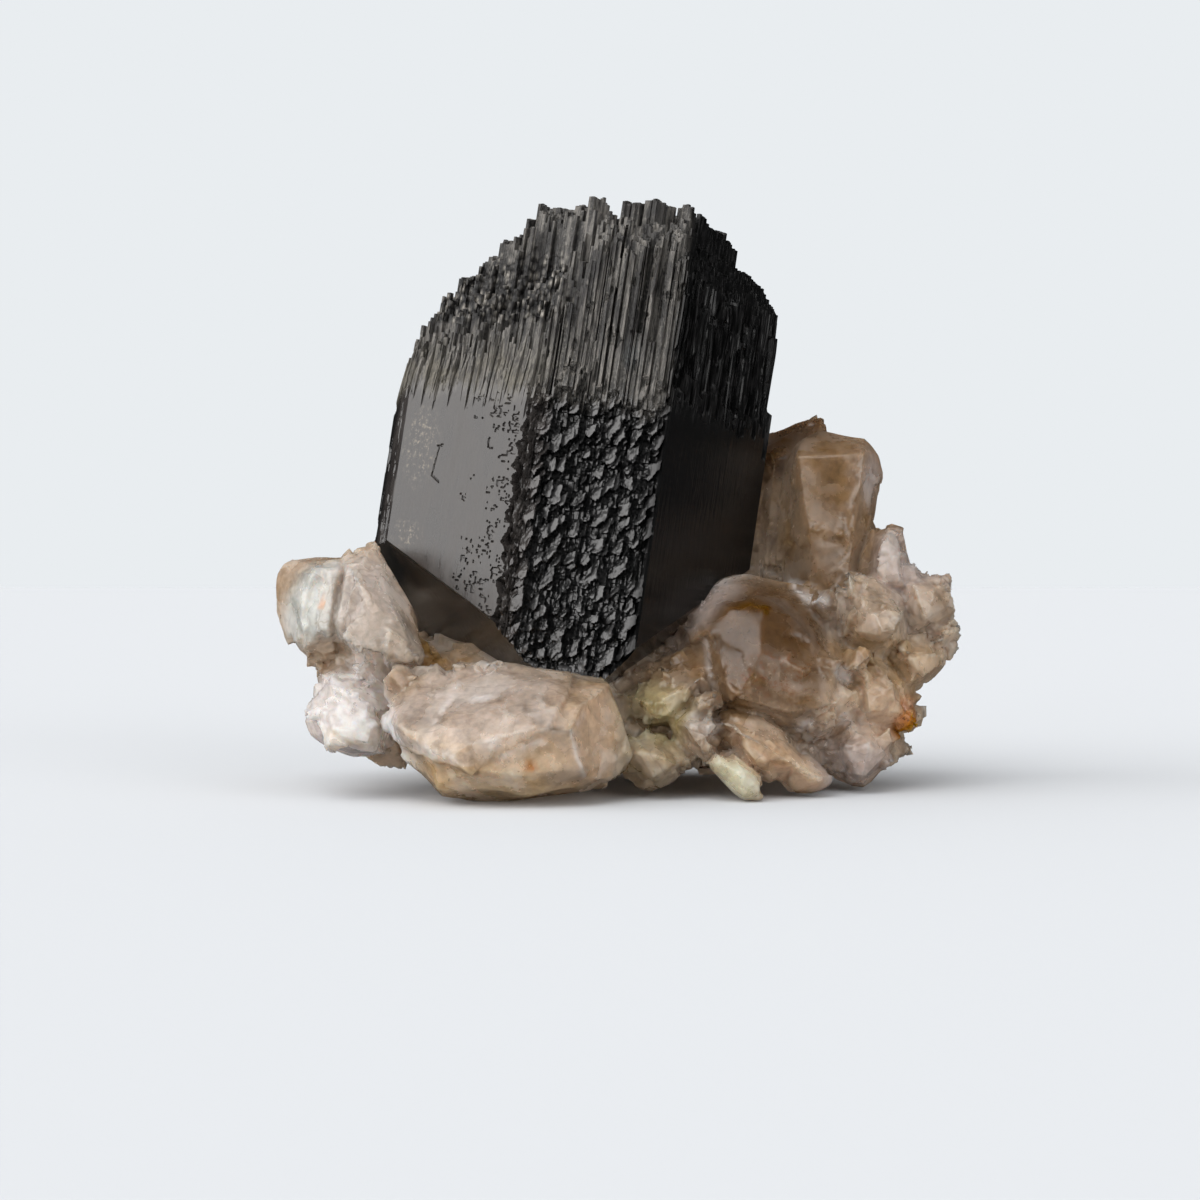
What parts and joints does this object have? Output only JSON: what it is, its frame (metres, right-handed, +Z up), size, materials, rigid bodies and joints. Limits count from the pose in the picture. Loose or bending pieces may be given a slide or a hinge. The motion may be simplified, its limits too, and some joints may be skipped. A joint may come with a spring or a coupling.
{
  "type": "mineral specimen",
  "caption": "Palm-sized mineral specimen: a thick black tourmaline prism with a stepped, grooved crown, standing in a bed of milky smoky quartz crystals.",
  "frame": {"origin": "on the resting plane, under the middle of the whole specimen's box", "axes": "+X to the right as the specimen is shown, along its width; +Y away from the viewer, to the back; +Z up"},
  "size_m": [0.0906, 0.0618, 0.0786],
  "materials": {
    "tourmaline": "satin",
    "quartz": "gloss"
  },
  "bodies": {
    "root": {"black_tourmaline_crystal": "tourmaline", "smoky_quartz_cluster": "quartz"}
  },
  "joints": []
}
